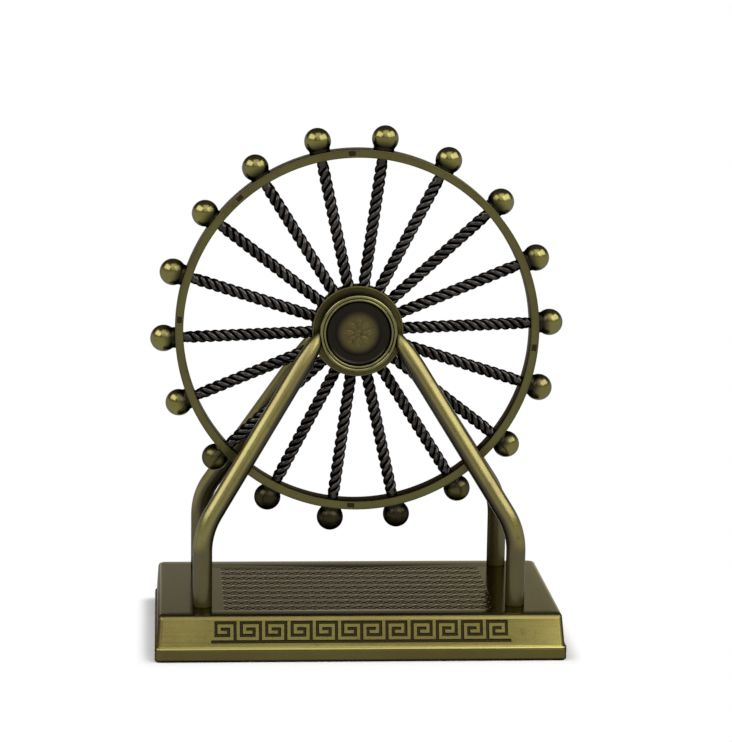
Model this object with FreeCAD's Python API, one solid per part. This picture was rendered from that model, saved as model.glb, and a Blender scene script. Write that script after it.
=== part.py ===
import FreeCAD, Part

import math
import os

# Desk-top model of a giant ferris wheel, in millimetres.
#
# A hollow cast base carries two A-shaped frames of bent round bar. Each pair of legs ends
# on a dished bearing cup, and an axle bolt joins the two cups. The wheel turns by hand on
# that bolt: a spool hub, eighteen twisted spokes, a rim and one ball outside each spoke.
#
# Frame: origin at the centre of the underside, +Z up, the front of the base faces -Y.

Vector = FreeCAD.Vector
Y_AXIS = Vector(0, 1, 0)
Z_AXIS = Vector(0, 0, 1)
FRONT = -1
REAR = 1
level_tolerance = 1e-6

# ---------------------------------------------------------------- driving dimensions

# Base casting and its felt pad
base_width = 120.0
base_depth = 67.5
base_height = 13.1
slab_height = 4.1
slab_ledge = 0.5
side_inset = 1.1
rear_inset = 0.8
front_inset = 4.0
base_corner = 1.5
top_edge_round = 1.4
slab_edge_round = 0.4
base_wall = 3.0
base_top_wall = 2.8
pad_thickness = 0.8
pad_rebate = 0.5
pad_inset = 2.0

# Frames: four legs of round bar
leg_diameter = 5.7
foot_side_margin = 13.9
foot_rear_margin = 5.6
foot_pitch = 46.8
bend_rise = 22.4
bend_radius = 19.0
front_leg_lap = 2.35
rear_leg_lap = 3.15
leg_nose_start = 18.3
leg_nose_length = 13.5
seat_depth = 0.8

# Foot screws
screw_diameter = 3.0
screw_head_diameter = 5.4
screw_head_height = 1.8
screw_bite = 6.0
screw_slot_width = 0.7
screw_slot_depth = 0.8
boss_wall = 1.3
boss_length = 3.6

# Wheel
axle_rise = 78.25
wheel_phase = 7.45
spoke_count = 18

# Rim and balls
rim_outer_radius = 54.2
rim_thickness = 2.45
rim_width = 6.8
rim_chamfer = 0.25
ball_diameter = 8.0
ball_sink = 0.6
ball_neck_diameter = 6.2

# Spokes: twisted three-strand bar between a plain shank and a plain collar
rope_diameter = 3.7
rope_groove_depth = 0.5
rope_bead_pitch = 2.53
rope_strands = 3
rope_steps_per_bead = 3
spigot_diameter = 1.8
spigot_length = 3.6
shank_diameter = 2.7
collar_diameter = 3.3
collar_length = 1.9
tenon_diameter = 1.6
tenon_in_ball = 2.5

# Hub
drum_radius = 9.6
drum_width = 3.9
flange_radius = 13.6
flange_thickness = 0.7
flange_chamfer = 0.2
bush_wall = 1.2

# Axle bolt, nut and thrust washers
axle_diameter = 4.0
bolt_head_diameter = 5.8
bolt_head_height = 1.0
bolt_slot_width = 0.8
bolt_slot_depth = 0.5
nut_flats = 5.2
nut_height = 1.0
washer_diameter = 8.0
washer_thickness = 0.4

# Bearing cups and their cap discs
cup_radius = 11.55
cup_lip_width = 1.9
cup_outer_bead = 0.55
cup_dish_depth = 2.05
cup_web = 1.0
cup_back_chamfer = 0.4
dish_fillet = 1.4
cap_margin = 1.3
cap_thickness = 0.6
cap_edge_round = 0.2
cap_hollow_depth = 0.2

# Clearances
pad_gap = 0.15
press_gap = 0.02
thread_gap = 0.05
running_gap = 0.05
washer_gap = 0.05
seat_gap = 0.03
shoulder_gap = 0.05
cap_gap = 0.1
head_gap = 0.2
screw_hole_gap = 0.2
leg_flange_gap = 0.4

# ---------------------------------------------------------------- derived sizes

leg_radius = leg_diameter / 2
foot_x = base_width / 2 - foot_side_margin
foot_y = foot_pitch / 2
wheel_plane_y = base_depth / 2 - rear_inset - foot_rear_margin - foot_y
axle_height = base_height + axle_rise
bend_height = base_height + bend_rise
slab_bottom = pad_thickness - pad_rebate
screw_radius = screw_diameter / 2
screw_head_radius = screw_head_diameter / 2
boss_radius = screw_head_radius + boss_wall
seat_z = base_height - seat_depth
boss_face_z = base_height - base_top_wall - boss_length

ball_radius = ball_diameter / 2
ball_ring_radius = rim_outer_radius + ball_radius - ball_sink
rim_inner_radius = rim_outer_radius - rim_thickness
rope_groove_radius = rope_diameter / 2 - rope_groove_depth
half_rim = rim_width / 2
tenon_radius = tenon_diameter / 2
spigot_radius = spigot_diameter / 2

half_drum = drum_width / 2
flange_face = half_drum + flange_thickness
axle_radius = axle_diameter / 2
bush_bore = axle_radius + running_gap
bush_outer = bush_bore + bush_wall
cup_back = flange_face + washer_thickness + 2 * washer_gap
recess_floor = cup_back + cup_web
dish_floor = recess_floor + max(bolt_head_height, nut_height) + cap_gap
cup_front = dish_floor + cup_dish_depth
cup_dish_radius = cup_radius - cup_lip_width
recess_radius = max(bolt_head_diameter / 2, nut_flats / math.sqrt(3)) + head_gap
cap_radius = cup_dish_radius - dish_fillet - cap_margin
leg_offsets = {FRONT: cup_radius - front_leg_lap, REAR: cup_radius - rear_leg_lap}

wheel_centre = Vector(0, wheel_plane_y, axle_height)


# ---------------------------------------------------------------- shared shapes

def rounded_rectangle(half_x, y_front, y_rear, z, corner):
    """Closed wire of a rectangle with rounded corners, level at height z."""
    corners = [Vector(half_x - corner, y_front + corner, z), Vector(half_x - corner, y_rear - corner, z),
               Vector(corner - half_x, y_rear - corner, z), Vector(corner - half_x, y_front + corner, z)]
    edges = []
    for i, centre in enumerate(corners):
        start = 90 * (i - 1)
        circle = Part.Circle(centre, Z_AXIS, corner)
        arc = Part.Arc(circle, math.radians(start), math.radians(start + 90)).toShape()
        if edges:
            edges.append(Part.LineSegment(last_point, arc.Vertexes[0].Point).toShape())
        edges.append(arc)
        last_point = arc.Vertexes[-1].Point
    edges.append(Part.LineSegment(last_point, edges[0].Vertexes[0].Point).toShape())
    return Part.Wire(edges)


def turned(edges):
    """Solid turned about the wheel axis from profile edges drawn as (radius, distance out)."""
    return Part.Face(Part.Wire(edges)).revolve(Vector(0, 0, 0), Y_AXIS, 360)


def profile_point(radius, out):
    return Vector(radius, out, 0)


def profile_lines(points):
    return [Part.LineSegment(a, b).toShape() for a, b in zip(points, points[1:])]


def profile_polygon(pairs):
    points = [profile_point(radius, out) for radius, out in pairs]
    return profile_lines(points + points[:1])


def at_side(shape, side):
    """Moves a shape turned about the local Y axis to the wheel centre, facing front or rear."""
    placed = shape.copy()
    if side == FRONT:
        placed.rotate(Vector(0, 0, 0), Z_AXIS, 180)
    placed.translate(wheel_centre)
    return placed


def around_wheel(shape, index):
    """Moves a shape built along the local +Z radius to spoke number index."""
    placed = shape.copy()
    placed.rotate(Vector(0, 0, 0), Y_AXIS, wheel_phase + index * 360.0 / spoke_count)
    placed.translate(wheel_centre)
    return placed


def foot_places():
    """Foot centres on the seat plane, as name, side in X, side in Y and point."""
    places = []
    for side_y, depth_name in ((FRONT, "front"), (REAR, "rear")):
        for side_x, width_name in ((-1, "left"), (1, "right")):
            point = Vector(side_x * foot_x, wheel_plane_y + side_y * foot_y, seat_z)
            places.append((depth_name + "_" + width_name, side_x, side_y, point))
    return places


def save(name, shape):
    shape.exportStep("parts/" + name + ".step")


# ---------------------------------------------------------------- base

def edges_at(shape, z):
    """Edges of a shape that lie level at height z."""
    return [edge for edge in shape.Edges if all(abs(v.Z - z) < level_tolerance for v in edge.Vertexes)]


def pad_block(inset, bottom, top):
    """Slab with the outline of the pad, at this inset from the sides of the base."""
    half_depth = base_depth / 2 - inset
    outline = rounded_rectangle(base_width / 2 - inset, -half_depth, half_depth, bottom, base_corner)
    return Part.Face(outline).extrude(Z_AXIS * (top - bottom))


def base_casting():
    """Foot slab and sloped body in one casting, hollow below and rebated for its pad.

    Each foot has a screw boss, spot-faced from below so that the screw head clears the wall.
    """
    half_width = base_width / 2
    half_depth = base_depth / 2
    slab_outline = rounded_rectangle(half_width, -half_depth, half_depth, slab_bottom, base_corner)
    slab = Part.Face(slab_outline).extrude(Z_AXIS * (slab_height - slab_bottom))
    slab = slab.makeFillet(slab_edge_round, edges_at(slab, slab_bottom))
    body_bottom = rounded_rectangle(half_width - slab_ledge, slab_ledge - half_depth,
                                    half_depth - slab_ledge, slab_height, base_corner)
    body_top = rounded_rectangle(half_width - side_inset, front_inset - half_depth,
                                 half_depth - rear_inset, base_height, base_corner)
    body = Part.makeLoft([body_bottom, body_top], True, True)
    body = body.makeFillet(top_edge_round, edges_at(body, base_height))

    cavity_top = base_height - base_top_wall
    cavity_low = rounded_rectangle(half_width - slab_ledge - base_wall, slab_ledge + base_wall - half_depth,
                                   half_depth - slab_ledge - base_wall, pad_thickness, base_corner)
    cavity_high = rounded_rectangle(half_width - side_inset - base_wall, front_inset + base_wall - half_depth,
                                    half_depth - rear_inset - base_wall, cavity_top, base_corner)
    cavity = Part.makeLoft([cavity_low, cavity_high], True, True)
    rebate = pad_block(pad_inset - pad_gap, slab_bottom, pad_thickness)
    block = slab.fuse(body)
    casting = block.cut([cavity, rebate])

    bosses = []
    bores = []
    for _, _, _, foot in foot_places():
        boss_start = Vector(foot.x, foot.y, boss_face_z)
        bosses.append(Part.makeCylinder(boss_radius, boss_length + seat_depth, boss_start).common(block))
        bores.append(Part.makeCylinder(leg_radius + press_gap, 2 * seat_depth, foot))
        bores.append(Part.makeCylinder(screw_radius + screw_hole_gap, base_height, boss_start))
        bores.append(Part.makeCylinder(screw_head_radius + head_gap, boss_face_z - pad_thickness,
                                       Vector(foot.x, foot.y, pad_thickness)))
    return casting.fuse(bosses).cut(bores).removeSplitter()


def foot_screw(foot):
    """Slotted pan-head screw, up through its boss into the threaded foot of a leg."""
    head_start = Vector(foot.x, foot.y, boss_face_z - screw_head_height)
    head = Part.makeCylinder(screw_head_radius, screw_head_height, head_start)
    slot = Part.makeBox(2 * screw_head_diameter, screw_slot_width, screw_slot_depth,
                        head_start - Vector(screw_head_diameter, screw_slot_width / 2, 0))
    shank = Part.makeCylinder(screw_radius, seat_z + screw_bite - boss_face_z,
                              Vector(foot.x, foot.y, boss_face_z))
    return head.cut(slot).fuse(shank).removeSplitter()


# ---------------------------------------------------------------- frames

def leg_nose():
    """Half of a long ellipsoid along +Z, for the tapered end of a leg."""
    tip = Z_AXIS * leg_nose_length
    ellipse = Part.Ellipse(tip, Vector(leg_radius, 0, 0), Vector(0, 0, 0))
    outline = [Part.Arc(ellipse, 0, math.pi / 2).toShape(),
               Part.LineSegment(Vector(leg_radius, 0, 0), Vector(0, 0, 0)).toShape(),
               Part.LineSegment(Vector(0, 0, 0), tip).toShape()]
    return Part.Face(Part.Wire(outline)).revolve(Vector(0, 0, 0), Z_AXIS, 360)


def leg(side_x, side_y, foot):
    """Round bar: plumb from its foot, bent once towards the hub, tapered off along its cup."""
    offset = leg_offsets[side_y]
    drop = axle_height - bend_height
    reach = math.hypot(foot_x, drop)
    lean = math.atan2(foot_x, drop) - math.asin(offset / reach)
    run = math.sqrt(reach ** 2 - offset ** 2) - leg_nose_start
    # the nose leans towards the wheel as well, so it starts further out than the bar's radius
    lean_in = (foot_y - flange_face) / run
    end_y = flange_face + leg_flange_gap + math.hypot(leg_nose_length * lean_in, leg_radius)

    corner = Vector(foot.x, foot.y, bend_height)
    end = Vector(side_x * (foot_x - run * math.sin(lean)), wheel_plane_y + side_y * end_y,
                 bend_height + run * math.cos(lean))
    slant = (end - corner).normalize()
    turn = math.acos(slant.z)
    tangent = bend_radius * math.tan(turn / 2)
    bend_start = corner - Z_AXIS * tangent
    bend_end = corner + slant * tangent
    inward = (slant - Z_AXIS).normalize()
    bend_middle = corner + inward * (bend_radius / math.cos(turn / 2) - bend_radius)
    path = Part.Wire([Part.LineSegment(foot, bend_start).toShape(),
                      Part.Arc(bend_start, bend_middle, bend_end).toShape(),
                      Part.LineSegment(bend_end, end).toShape()])
    section = Part.Wire(Part.Circle(foot, Z_AXIS, leg_radius).toShape())
    bar = path.makePipeShell([section], True, False)
    nose = leg_nose()
    nose.Placement = FreeCAD.Placement(end, FreeCAD.Rotation(Z_AXIS, slant))
    bore = Part.makeCylinder(screw_radius + thread_gap, screw_bite + leg_radius / 2, foot)
    cup_space = Part.makeCylinder(cup_radius, base_depth, wheel_centre - Y_AXIS * (base_depth / 2), Y_AXIS)
    return bar.fuse(nose).cut([bore, cup_space]).removeSplitter()


def bearing_cup():
    """Dished cup with a double rolled lip, a seat for the cap disc and a bore for the axle."""
    bore = axle_radius + running_gap
    lip_base = cup_front - cup_outer_bead
    lip_width = cup_radius - cup_dish_radius
    groove_radius = cup_dish_radius + lip_width - 2 * cup_outer_bead
    inner_bead = (groove_radius - cup_dish_radius) / 2
    outer_crest = profile_point(cup_radius - cup_outer_bead, cup_front)
    inner_crest = profile_point(cup_dish_radius + inner_bead, lip_base + inner_bead)
    groove = profile_point(groove_radius, lip_base)
    outer_wall_top = profile_point(cup_radius, lip_base)
    dish_wall_top = profile_point(cup_dish_radius, lip_base)
    dish_wall_foot = profile_point(cup_dish_radius, dish_floor + dish_fillet)
    dish_floor_edge = profile_point(cup_dish_radius - dish_fillet, dish_floor)
    fillet_middle = profile_point(cup_dish_radius - dish_fillet * (1 - math.sqrt(0.5)),
                                  dish_floor + dish_fillet * (1 - math.sqrt(0.5)))
    edges = profile_lines([dish_floor_edge, profile_point(recess_radius, dish_floor),
                           profile_point(recess_radius, recess_floor), profile_point(bore, recess_floor),
                           profile_point(bore, cup_back), profile_point(cup_radius - cup_back_chamfer, cup_back),
                           profile_point(cup_radius, cup_back + cup_back_chamfer), outer_wall_top])
    edges.append(Part.Arc(outer_wall_top, outer_crest, groove).toShape())
    edges.append(Part.Arc(groove, inner_crest, dish_wall_top).toShape())
    edges += profile_lines([dish_wall_top, dish_wall_foot])
    edges.append(Part.Arc(dish_wall_foot, fillet_middle, dish_floor_edge).toShape())
    return turned(edges)


def cap_disc():
    """Coin-shaped disc that closes the bolt recess, hollowed to a shallow sphere on its face."""
    face = dish_floor + cap_thickness
    land_radius = cap_radius - 2 * cap_edge_round
    blank = turned(profile_polygon([(0, dish_floor), (cap_radius, dish_floor),
                                    (cap_radius, face - cap_edge_round),
                                    (cap_radius - cap_edge_round, face), (0, face)]))
    hollow_radius = (land_radius ** 2 + cap_hollow_depth ** 2) / (2 * cap_hollow_depth)
    hollow = Part.makeSphere(hollow_radius, Y_AXIS * (face - cap_hollow_depth + hollow_radius), Y_AXIS)
    return blank.cut(hollow)


# ---------------------------------------------------------------- axle

def axle_bolt():
    """Slotted bolt: its head sits in the front cup and its end in the nut of the rear cup."""
    shaft = turned(profile_polygon([(0, -recess_floor), (axle_radius, -recess_floor),
                                    (axle_radius, recess_floor + nut_height), (0, recess_floor + nut_height)]))
    head_out = -recess_floor - bolt_head_height
    head = turned(profile_polygon([(0, head_out), (bolt_head_diameter / 2, head_out),
                                   (bolt_head_diameter / 2, -recess_floor), (0, -recess_floor)]))
    slot = Part.makeBox(2 * bolt_head_diameter, bolt_slot_depth, bolt_slot_width,
                        Vector(-bolt_head_diameter, head_out, -bolt_slot_width / 2))
    return at_side(head.cut(slot).fuse(shaft).removeSplitter(), REAR)


def axle_nut():
    corner_radius = nut_flats / math.sqrt(3)
    corners = [Vector(corner_radius * math.cos(math.radians(60 * i)), recess_floor,
                      corner_radius * math.sin(math.radians(60 * i))) for i in range(7)]
    block = Part.Face(Part.makePolygon(corners)).extrude(Y_AXIS * nut_height)
    bore = Part.makeCylinder(axle_radius + press_gap, 2 * nut_height,
                             Y_AXIS * (recess_floor - nut_height / 2), Y_AXIS)
    return at_side(block.cut(bore), REAR)


def thrust_washer(side):
    near = flange_face + washer_gap
    far = near + washer_thickness
    bore = axle_radius + running_gap
    return at_side(turned(profile_polygon([(bore, near), (washer_diameter / 2, near),
                                           (washer_diameter / 2, far), (bore, far)])), side)


# ---------------------------------------------------------------- wheel

def hub_bush():
    return at_side(turned(profile_polygon([(bush_bore, -flange_face), (bush_outer, -flange_face),
                                           (bush_outer, flange_face), (bush_bore, flange_face)])), REAR)


def hub_drum():
    """Core of the spool, drilled from outside for the inner end of every spoke."""
    bore = bush_outer + press_gap
    drum = turned(profile_polygon([(bore, -half_drum), (drum_radius, -half_drum),
                                   (drum_radius, half_drum), (bore, half_drum)]))
    socket_start = drum_radius - spigot_length - shoulder_gap
    socket = Part.makeCylinder(spigot_radius + press_gap, drum_radius, Z_AXIS * socket_start)
    drum = at_side(drum, REAR)
    return drum.cut([around_wheel(socket, i) for i in range(spoke_count)])


def hub_flange(side):
    bore = bush_outer + press_gap
    edge = flange_radius - flange_chamfer
    return at_side(turned(profile_polygon([(bore, half_drum), (edge, half_drum),
                                           (flange_radius, half_drum + flange_chamfer),
                                           (flange_radius, flange_face - flange_chamfer),
                                           (edge, flange_face), (bore, flange_face)])), side)


def wheel_rim():
    """Rim band with broken edges, drilled for the tenons and dimpled for the balls."""
    outer_edge = rim_outer_radius - rim_chamfer
    inner_edge = rim_inner_radius + rim_chamfer
    face = half_rim - rim_chamfer
    ring = at_side(turned(profile_polygon([(inner_edge, half_rim), (outer_edge, half_rim),
                                           (rim_outer_radius, face), (rim_outer_radius, -face),
                                           (outer_edge, -half_rim), (inner_edge, -half_rim),
                                           (rim_inner_radius, -face), (rim_inner_radius, face)])), REAR)
    hole = Part.makeCylinder(tenon_radius + press_gap, ball_radius,
                             Z_AXIS * (rim_inner_radius - rim_chamfer))
    dimple = Part.makeSphere(ball_radius + seat_gap, Z_AXIS * ball_ring_radius)
    seats = [around_wheel(tool, i) for i in range(spoke_count) for tool in (hole, dimple)]
    return ring.cut(seats)


def twisted_bar(start, end):
    """Right-hand three-strand twist along +Z, as a closed shell of flat facets."""
    bead_turn = 360.0 / rope_strands
    steps = round((end - start) / rope_bead_pitch * rope_steps_per_bead)
    rise = (end - start) / steps
    step_turn = bead_turn / rope_steps_per_bead
    count = 2 * rope_strands
    rings = []
    for step in range(steps + 1):
        ring = []
        for i in range(count):
            radius = rope_diameter / 2 if i % 2 == 0 else rope_groove_radius
            angle = math.radians(step * step_turn + i * 360.0 / count)
            ring.append(Vector(radius * math.cos(angle), radius * math.sin(angle), start + step * rise))
        rings.append(ring)

    def facet(*points):
        return Part.Face(Part.makePolygon(list(points) + [points[0]]))

    faces = [facet(*reversed(rings[0])), facet(*rings[-1])]
    for low, high in zip(rings, rings[1:]):
        for i in range(count):
            j = (i + 1) % count
            faces.append(facet(low[i], low[j], high[i]))
            faces.append(facet(low[j], high[j], high[i]))
    return Part.Solid(Part.Shell(faces))


def spoke():
    """Spoke along +Z: spigot for the hub, shank, twisted bar, collar, tenon for rim and ball."""
    shank_start = drum_radius + shoulder_gap
    twist_start = flange_radius - rope_diameter / 2
    collar_end = rim_inner_radius - shoulder_gap
    twist_end = collar_end - collar_length
    tenon_end = ball_ring_radius - ball_radius + tenon_in_ball
    spigot = Part.makeCylinder(spigot_radius, spigot_length + shank_start - drum_radius,
                               Z_AXIS * (drum_radius - spigot_length))
    shank = Part.makeCylinder(shank_diameter / 2, twist_start - shank_start, Z_AXIS * shank_start)
    collar = Part.makeCylinder(collar_diameter / 2, collar_length, Z_AXIS * twist_end)
    tenon = Part.makeCylinder(tenon_radius, tenon_end - collar_end, Z_AXIS * collar_end)
    return twisted_bar(twist_start, twist_end).fuse([spigot, shank, collar, tenon])


def cabin_ball():
    """Ball on a low neck that is saddled to the rim, drilled for the tenon of its spoke."""
    neck = Part.makeCylinder(ball_neck_diameter / 2, ball_radius, Z_AXIS * (ball_ring_radius - ball_radius))
    rim_space = Part.makeCylinder(rim_outer_radius + seat_gap, rim_width, -Y_AXIS * half_rim, Y_AXIS)
    ball = Part.makeSphere(ball_radius, Z_AXIS * ball_ring_radius).fuse(neck.cut(rim_space))
    hole_end = ball_ring_radius - ball_radius + tenon_in_ball + shoulder_gap
    hole = Part.makeCylinder(tenon_radius + press_gap, hole_end - rim_inner_radius, Z_AXIS * rim_inner_radius)
    return ball.cut(hole)


# ---------------------------------------------------------------- write every piece

os.makedirs("parts", exist_ok=True)

save("base_casting", base_casting())
save("base_pad", pad_block(pad_inset, 0, pad_thickness))
save("foot_screws", Part.makeCompound([foot_screw(foot) for _, _, _, foot in foot_places()]))
for place, side_x, side_y, foot in foot_places():
    save(place + "_leg", leg(side_x, side_y, foot))

save("front_bearing_cup", at_side(bearing_cup(), FRONT))
save("rear_bearing_cup", at_side(bearing_cup(), REAR))
save("front_cap_disc", at_side(cap_disc(), FRONT))
save("rear_cap_disc", at_side(cap_disc(), REAR))
save("axle_bolt", axle_bolt())
save("axle_nut", axle_nut())
save("thrust_washers", Part.makeCompound([thrust_washer(FRONT), thrust_washer(REAR)]))

save("hub_bush", hub_bush())
save("hub_drum", hub_drum())
save("front_hub_flange", hub_flange(FRONT))
save("rear_hub_flange", hub_flange(REAR))
save("wheel_rim", wheel_rim())

one_spoke = spoke()
one_ball = cabin_ball()
for index in range(spoke_count):
    number = "%02d" % (index + 1)
    save("spoke_" + number, around_wheel(one_spoke, index))
    save("cabin_ball_" + number, around_wheel(one_ball, index))
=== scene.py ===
import math

import bmesh
import bpy
from mathutils import Matrix, Vector


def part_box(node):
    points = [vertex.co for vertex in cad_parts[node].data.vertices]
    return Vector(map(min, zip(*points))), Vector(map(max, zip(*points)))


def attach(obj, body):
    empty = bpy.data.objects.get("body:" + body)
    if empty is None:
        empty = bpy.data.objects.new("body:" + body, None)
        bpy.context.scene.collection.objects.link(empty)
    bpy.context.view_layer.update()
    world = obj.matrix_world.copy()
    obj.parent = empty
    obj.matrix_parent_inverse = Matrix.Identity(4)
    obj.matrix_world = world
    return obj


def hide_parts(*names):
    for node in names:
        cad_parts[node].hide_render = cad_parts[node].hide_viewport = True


# Looks of the desk-top ferris wheel: an antiqued bronze stand and wheel on a pale floor.
# Lengths are in metres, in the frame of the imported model: +Z up, the front faces -Y.

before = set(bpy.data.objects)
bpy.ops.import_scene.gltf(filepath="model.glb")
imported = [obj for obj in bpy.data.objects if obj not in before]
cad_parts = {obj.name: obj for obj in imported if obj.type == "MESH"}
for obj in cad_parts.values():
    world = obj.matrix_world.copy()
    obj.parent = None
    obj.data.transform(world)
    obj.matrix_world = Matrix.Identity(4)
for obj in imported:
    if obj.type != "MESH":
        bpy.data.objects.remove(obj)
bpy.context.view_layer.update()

# ---------------- sizes read from the frame


def middle_of(node):
    low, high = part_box(node)
    return (low + high) / 2


def nodes_with(word):
    return sorted(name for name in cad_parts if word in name)


SPOKES = nodes_with("spoke_")
BALLS = nodes_with("cabin_ball_")
LEGS = nodes_with("_leg")
SIDES = (("front", -1), ("rear", 1))

HUB = middle_of("wheel_rim")
rim_low, rim_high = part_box("wheel_rim")
RIM_OUTER = (rim_high.x - rim_low.x) / 2
RIM_WIDTH = rim_high.y - rim_low.y
ball_low, ball_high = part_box(BALLS[0])
# polishing has taken a little off each ball, so the wheel stays inside the CAD model's box
POLISHED_OFF = 0.00003
BALL_RADIUS = (ball_high.x - ball_low.x) / 2 - POLISHED_OFF
flange_low, flange_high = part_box("front_hub_flange")
FLANGE_RADIUS = (flange_high.x - flange_low.x) / 2
FLANGE_FACE = HUB.y - flange_low.y
FLANGE_BACK = HUB.y - flange_high.y
base_low, base_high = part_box("base_casting")
pad_low, pad_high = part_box("base_pad")

# ---------------- sizes of the construction

SNUG_GAP = 0.00002
RIM_THICKNESS = 0.00245
RIM_INNER = RIM_OUTER - RIM_THICKNESS
RIM_BEVEL = 0.00038

CUP_RADIUS = 0.01155
CUP_LIP_WIDTH = 0.0019
CUP_BEAD = 0.00055
CUP_ROUND = 0.0003
CUP_BACK = 0.00315
CUP_FRONT = 0.0073
DISH_FLOOR = 0.00525
DISH_FILLET = 0.0014
BOLT_RECESS = 0.0032
BOLT_SEAT = 0.001
AXLE_HOLE = 0.0021
DISC_RADIUS = 0.00695
DISC_BORE = 0.0002
DISC_DOME = 0.00057

LEG_RADIUS = 0.00285
LEG_BEND_HEIGHT = 0.0355
LEG_BEND_RADIUS = 0.019
FRONT_LEG_LAP = 0.00235
REAR_LEG_LAP = 0.00315
LEG_NOSE_START = 0.0183
LEG_NOSE_LENGTH = 0.0135
LEG_FLANGE_GAP = 0.0004
CUP_OVERLAP = 0.00008

FLANGE_BORE = 0.0033
FLANGE_STEP = 0.0001
FLANGE_LIP = 0.0006
FLANGE_ROUND = 0.00022

ROPE_RADIUS = 0.00185
ROPE_STRANDS = 3
ROPE_BEAD_PITCH = 0.00253
TWIST_FADE = 0.0009
SHANK_RADIUS = 0.00135
SHANK_START = 0.0098
COLLAR_RADIUS = 0.00165
COLLAR_LENGTH = 0.0019
COLLAR_IN_RIM = 0.0003
TENON_RADIUS = 0.0008
TENON_IN_BALL = 0.001
BALL_NECK_RADIUS = 0.0031
NECK_SUNK = 0.00005
NECK_FOOT_ROUND = 0.00015
THROAT_ROUND = 0.0009

SLAB_TOP = 0.0043
CHAMFER_HEIGHT = 0.00045
CHAMFER_DEPTH = 0.00022
SLAB_LEDGE = 0.0005
SLAB_ROUND = 0.0004
SLAB_GROOVE = 0.0036
SLAB_GROOVE_DEPTH = 0.00018
SHARP_ROUND = 0.0001
LEDGE_ROUND = 0.0002
SIDE_INSET = 0.0011
FRONT_INSET = 0.004
REAR_INSET = 0.0008
BASE_CORNER = 0.0015
TOP_ROUND = 0.0014
FRONT_TOP_ROUND = 0.0023
TOP_BORDER = 0.004
PAD_GAP = 0.00015
PAD_ROUND = 0.00025
PAD_BORDER = 0.0006

# ---------------- mesh tools

FINE_ARC_STEPS = 6
LONGEST_CUT = 0.45
SHORTEST_CUT = 1e-7


def smoothstep(value, low, high):
    t = min(max((value - low) / (high - low), 0.0), 1.0)
    return t * t * (3 - 2 * t)


def mix(a, b, t):
    return a + (b - a) * t


def round_corners(points, radius, steps=5, closed=True):
    """Points of a polygon with each corner turned into an arc of at most this radius."""
    rounded = []
    count = len(points)
    for i, (x, y) in enumerate(points):
        if not closed and i in (0, count - 1):
            rounded.append((x, y))
            continue
        here = Vector((x, y))
        back = Vector(points[i - 1]) - here
        ahead = Vector(points[(i + 1) % count]) - here
        half_angle = back.angle(ahead) / 2
        cut = min(radius / math.tan(half_angle), LONGEST_CUT * back.length, LONGEST_CUT * ahead.length)
        if cut < SHORTEST_CUT:
            rounded.append((x, y))
            continue
        start = here + back.normalized() * cut
        end = here + ahead.normalized() * cut
        for step in range(steps + 1):
            t = step / steps
            point = start * (1 - t) ** 2 + here * 2 * t * (1 - t) + end * t ** 2
            rounded.append((point.x, point.y))
    return rounded


def finished(name, bm, sharp_angle):
    """Mesh of a bmesh with outward normals, shaded smooth but for edges over the angle."""
    bmesh.ops.recalc_face_normals(bm, faces=bm.faces)
    mesh = bpy.data.meshes.new(name)
    bm.to_mesh(mesh)
    bm.free()
    mesh.shade_smooth()
    mesh.set_sharp_from_angle(angle=math.radians(sharp_angle))
    return mesh


def join_rings(bm, low, high, last_open=False):
    """Faces between two rings of vertices, without the last one where that stays open."""
    for j in range(len(low) - last_open):
        k = (j + 1) % len(low)
        bm.faces.new((low[j], low[k], high[k], high[j]))


def skin(name, rings, sharp_angle, closed=False):
    """Mesh through rings. Its ends are capped, or joined where the profile is closed.

    Each spot of a ring is its point, its share of patina in hollows and of painted shade, from 0 to 1,
    and the coordinates that a brushed finish follows.
    """
    bm = bmesh.new()
    patina_and_shade_layer = bm.verts.layers.float.new("patina_and_shade")
    grain_layer = bm.verts.layers.float_vector.new("grain")
    made = []
    for ring in rings:
        row = []
        for point, patina_and_shade, grain in ring:
            vertex = bm.verts.new(point)
            vertex[patina_and_shade_layer] = patina_and_shade
            vertex[grain_layer] = grain
            row.append(vertex)
        made.append(row)
    pairs = list(zip(made, made[1:]))
    if closed:
        pairs.append((made[-1], made[0]))
    for low, high in pairs:
        join_rings(bm, low, high)
    if not closed:
        bm.faces.new(reversed(made[0]))
        bm.faces.new(made[-1])
    return finished(name, bm, sharp_angle)


def even_angles(count):
    return [2 * math.pi * step / count for step in range(count)]


def turned(name, profile, side, sharp_angle, patina_and_shade_at, relief_at=None, angles=even_angles(160)):
    """Mesh of a closed profile of (radius, distance out) turned about the wheel's axis."""
    rings = []
    for radius, out in profile:
        ring = []
        for angle in angles:
            lift = relief_at(radius, out, angle) if relief_at else 0.0
            from_hub = (radius * math.sin(angle), side * (out + lift), radius * math.cos(angle))
            ring.append((HUB + Vector(from_hub), patina_and_shade_at(radius, out, lift), (radius, out, 0.0)))
        rings.append(ring)
    return skin(name, rings, sharp_angle, closed=True)


def add_piece(name, mesh, material, body, replaced):
    piece = bpy.data.objects.new(name, mesh)
    bpy.context.scene.collection.objects.link(piece)
    piece.data.materials.append(material)
    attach(piece, body)
    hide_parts(*replaced)
    return piece


# ---------------- colours


def srgb(red, green, blue):
    """Linear colour with its alpha from the 0 to 255 values of a screen colour."""
    def linear(value):
        value /= 255
        return value / 12.92 if value <= 0.04045 else ((value + 0.055) / 1.055) ** 2.4
    return (linear(red), linear(green), linear(blue), 1.0)


def grey(value):
    return (value, value, value, 1.0)


# dark patina colours, which also paint shade where a mask calls for it
PATINA_AND_SHADE_TONE = srgb(40, 35, 25)
BLACK_PATINA_AND_SHADE = srgb(24, 20, 21)
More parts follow.
